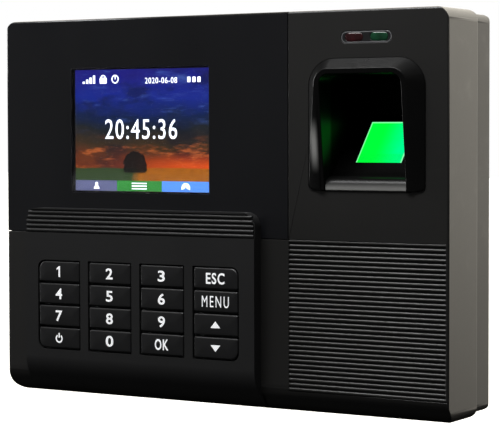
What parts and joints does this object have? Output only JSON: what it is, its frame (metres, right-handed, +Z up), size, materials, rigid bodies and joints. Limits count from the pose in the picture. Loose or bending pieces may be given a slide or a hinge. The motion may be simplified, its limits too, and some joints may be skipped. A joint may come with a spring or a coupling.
{
  "type": "fingerprint scanner terminal",
  "caption": "Wall-mounted access and attendance terminal: colour display, raised panel of short-stroke keys, hooded optical finger well, status lights and ribbed lower corner.",
  "frame": {"origin": "centre of the four wall-screw holes, on the back face of the wall plate", "axes": "+X to the right as the user sees it, +Y from the user into the wall, +Z up"},
  "size_m": [0.18, 0.0416, 0.136],
  "materials": {
    "front_plastic": "fine satin texture, black",
    "display_cover_plastic": "smooth satin, blue-black",
    "display_window": "clear polished acrylic",
    "lcd_glass": "lit colour display",
    "grey_plastic": "moulded",
    "flex_copper": "polyimide film",
    "key_panel_plastic": "fine satin texture, black",
    "key_plastic": "satin, white legends",
    "silicone": "soft silicone",
    "circuit_board": "green solder mask",
    "guide_plastic": "smooth, black",
    "sensor_glass": "optical glass, lit green",
    "inner_plastic": "moulded, black",
    "cable_sleeve": "flat cable jacket",
    "light_bezel": "smoky, smooth",
    "red_lens": "translucent dark red",
    "green_lens": "translucent dark green",
    "lamp_body": "clear epoxy",
    "tinned_steel": "tinned sheet",
    "chip_resin": "moulded resin",
    "capacitor_can": "sleeved can",
    "ivory_plastic": "moulded",
    "cell_steel": "polished cell",
    "relay_plastic": "moulded case",
    "terminal_plastic": "moulded",
    "speaker_basket": "basket and cone",
    "foam": "closed-cell foam",
    "rear_plastic": "spark texture, black",
    "plate_steel": "zinc plated sheet",
    "plunger_plastic": "moulded, red",
    "screw_steel": "zinc plated"
  },
  "bodies": {
    "terminal": {"front_shell": "front_plastic", "display_cover": "display_cover_plastic", "screen_window": "display_window", "lcd_panel": "lcd_glass", "lcd_frame": "grey_plastic", "lcd_flex": "flex_copper", "keypad_cover": "key_panel_plastic", "keypad_mat": "silicone", "keypad_pcb": "circuit_board", "keypad_flex": "flex_copper", "finger_guide": "guide_plastic", "finger_glass": "sensor_glass", "sensor_housing": "inner_plastic", "sensor_lens": "inner_plastic", "sensor_pcb": "circuit_board", "sensor_cable": "cable_sleeve", "led_bezel": "light_bezel", "led_lens_red": "red_lens", "led_lens_green": "green_lens", "indicator_leds": "lamp_body", "indicator_board": "circuit_board", "main_pcb": "circuit_board", "processor_shield": "tinned_steel", "memory_chips": "chip_resin", "board_capacitors": "capacitor_can", "battery_holder": "ivory_plastic", "backup_battery": "cell_steel", "buzzer": "inner_plastic", "lock_relay": "relay_plastic", "power_jack": "inner_plastic", "network_jack": "tinned_steel", "terminal_block": "terminal_plastic", "usb_port": "tinned_steel", "speaker": "speaker_basket", "speaker_gasket": "foam", "rear_shell": "rear_plastic", "wall_plate": "plate_steel", "tamper_switch": "inner_plastic", "case_screws": "screw_steel", "board_screws": "screw_steel", "small_screws": "screw_steel", "lock_screw": "screw_steel"},
    "key_1": {"key_1": "key_plastic"},
    "key_2": {"key_2": "key_plastic"},
    "key_3": {"key_3": "key_plastic"},
    "key_esc": {"key_esc": "key_plastic"},
    "key_4": {"key_4": "key_plastic"},
    "key_5": {"key_5": "key_plastic"},
    "key_6": {"key_6": "key_plastic"},
    "key_menu": {"key_menu": "key_plastic"},
    "key_7": {"key_7": "key_plastic"},
    "key_8": {"key_8": "key_plastic"},
    "key_9": {"key_9": "key_plastic"},
    "key_up": {"key_up": "key_plastic"},
    "key_power": {"key_power": "key_plastic"},
    "key_0": {"key_0": "key_plastic"},
    "key_ok": {"key_ok": "key_plastic"},
    "key_down": {"key_down": "key_plastic"},
    "tamper_plunger": {"tamper_plunger": "plunger_plastic"}
  },
  "joints": [
    {"name": "key_1_press", "type": "slide", "parent": "terminal", "child": "key_1", "axis": [0, 1, 0], "range_m": [0, 0.001], "stiffness_N_per_m": 400},
    {"name": "key_2_press", "type": "slide", "parent": "terminal", "child": "key_2", "axis": [0, 1, 0], "range_m": [0, 0.001], "stiffness_N_per_m": 400},
    {"name": "key_3_press", "type": "slide", "parent": "terminal", "child": "key_3", "axis": [0, 1, 0], "range_m": [0, 0.001], "stiffness_N_per_m": 400},
    {"name": "key_esc_press", "type": "slide", "parent": "terminal", "child": "key_esc", "axis": [0, 1, 0], "range_m": [0, 0.001], "stiffness_N_per_m": 400},
    {"name": "key_4_press", "type": "slide", "parent": "terminal", "child": "key_4", "axis": [0, 1, 0], "range_m": [0, 0.001], "stiffness_N_per_m": 400},
    {"name": "key_5_press", "type": "slide", "parent": "terminal", "child": "key_5", "axis": [0, 1, 0], "range_m": [0, 0.001], "stiffness_N_per_m": 400},
    {"name": "key_6_press", "type": "slide", "parent": "terminal", "child": "key_6", "axis": [0, 1, 0], "range_m": [0, 0.001], "stiffness_N_per_m": 400},
    {"name": "key_menu_press", "type": "slide", "parent": "terminal", "child": "key_menu", "axis": [0, 1, 0], "range_m": [0, 0.001], "stiffness_N_per_m": 400},
    {"name": "key_7_press", "type": "slide", "parent": "terminal", "child": "key_7", "axis": [0, 1, 0], "range_m": [0, 0.001], "stiffness_N_per_m": 400},
    {"name": "key_8_press", "type": "slide", "parent": "terminal", "child": "key_8", "axis": [0, 1, 0], "range_m": [0, 0.001], "stiffness_N_per_m": 400},
    {"name": "key_9_press", "type": "slide", "parent": "terminal", "child": "key_9", "axis": [0, 1, 0], "range_m": [0, 0.001], "stiffness_N_per_m": 400},
    {"name": "key_up_press", "type": "slide", "parent": "terminal", "child": "key_up", "axis": [0, 1, 0], "range_m": [0, 0.001], "stiffness_N_per_m": 400},
    {"name": "key_power_press", "type": "slide", "parent": "terminal", "child": "key_power", "axis": [0, 1, 0], "range_m": [0, 0.001], "stiffness_N_per_m": 400},
    {"name": "key_0_press", "type": "slide", "parent": "terminal", "child": "key_0", "axis": [0, 1, 0], "range_m": [0, 0.001], "stiffness_N_per_m": 400},
    {"name": "key_ok_press", "type": "slide", "parent": "terminal", "child": "key_ok", "axis": [0, 1, 0], "range_m": [0, 0.001], "stiffness_N_per_m": 400},
    {"name": "key_down_press", "type": "slide", "parent": "terminal", "child": "key_down", "axis": [0, 1, 0], "range_m": [0, 0.001], "stiffness_N_per_m": 400},
    {"name": "tamper_press", "type": "slide", "parent": "terminal", "child": "tamper_plunger", "axis": [0, -1, 0], "range_m": [0, 0.0012], "stiffness_N_per_m": 300}
  ]
}
